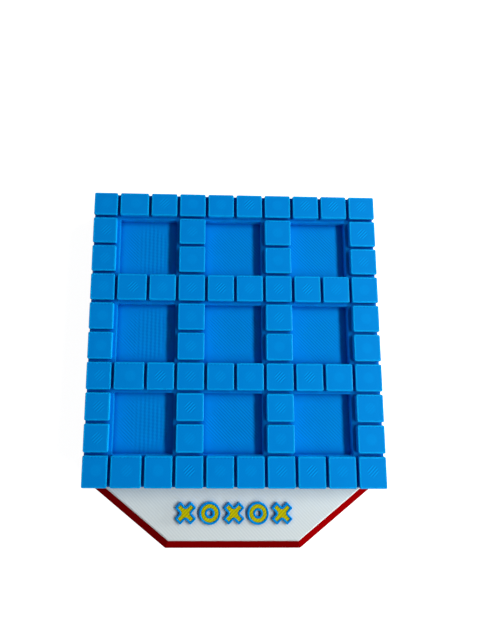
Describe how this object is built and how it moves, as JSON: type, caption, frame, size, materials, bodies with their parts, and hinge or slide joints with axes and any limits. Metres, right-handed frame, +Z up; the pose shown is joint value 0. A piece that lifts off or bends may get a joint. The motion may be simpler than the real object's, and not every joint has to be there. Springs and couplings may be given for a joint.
{
  "type": "tic-tac-toe game",
  "caption": "Noughts and crosses box: a blue board of raised tiles with a three by three set of sunk cells lifts off a bevelled red tray with a white deck that stores the pieces.",
  "frame": {"origin": "under the middle of the square board, on the flat face that the tray stands on", "axes": "+Z up, +X to the player's right, -Y towards the player, where the nose is"},
  "size_m": [0.119, 0.1439, 0.0213],
  "materials": {
    "blue_plastic": "satin PLA as printed, with fine diagonal top lines and layered walls",
    "white_plastic": "matt white PLA as printed, with faint diagonal top lines",
    "red_plastic": "satin PLA as printed, with fine horizontal layer lines",
    "cross_plastic": "satin PLA as printed",
    "nought_plastic": "matt PLA as printed",
    "mark_rim_plastic": "satin PLA as printed",
    "mark_face_plastic": "satin PLA as printed"
  },
  "bodies": {
    "tray": {"tray": "red_plastic", "deck": "white_plastic", "cross_1": "cross_plastic", "cross_2": "cross_plastic", "cross_3": "cross_plastic", "cross_4": "cross_plastic", "cross_5": "cross_plastic", "nought_1": "nought_plastic", "nought_2": "nought_plastic", "nought_3": "nought_plastic", "nought_4": "nought_plastic", "nought_5": "nought_plastic", "mark_rim_1": "mark_rim_plastic", "mark_rim_2": "mark_rim_plastic", "mark_rim_3": "mark_rim_plastic", "mark_rim_4": "mark_rim_plastic", "mark_rim_5": "mark_rim_plastic", "mark_face_1": "mark_face_plastic", "mark_face_2": "mark_face_plastic", "mark_face_3": "mark_face_plastic", "mark_face_4": "mark_face_plastic", "mark_face_5": "mark_face_plastic"},
    "board": {"board": "blue_plastic"}
  },
  "joints": [
    {"name": "board_lift", "type": "slide", "parent": "tray", "child": "board", "axis": [0, 0, 1], "range_m": [0, 0.05]}
  ]
}
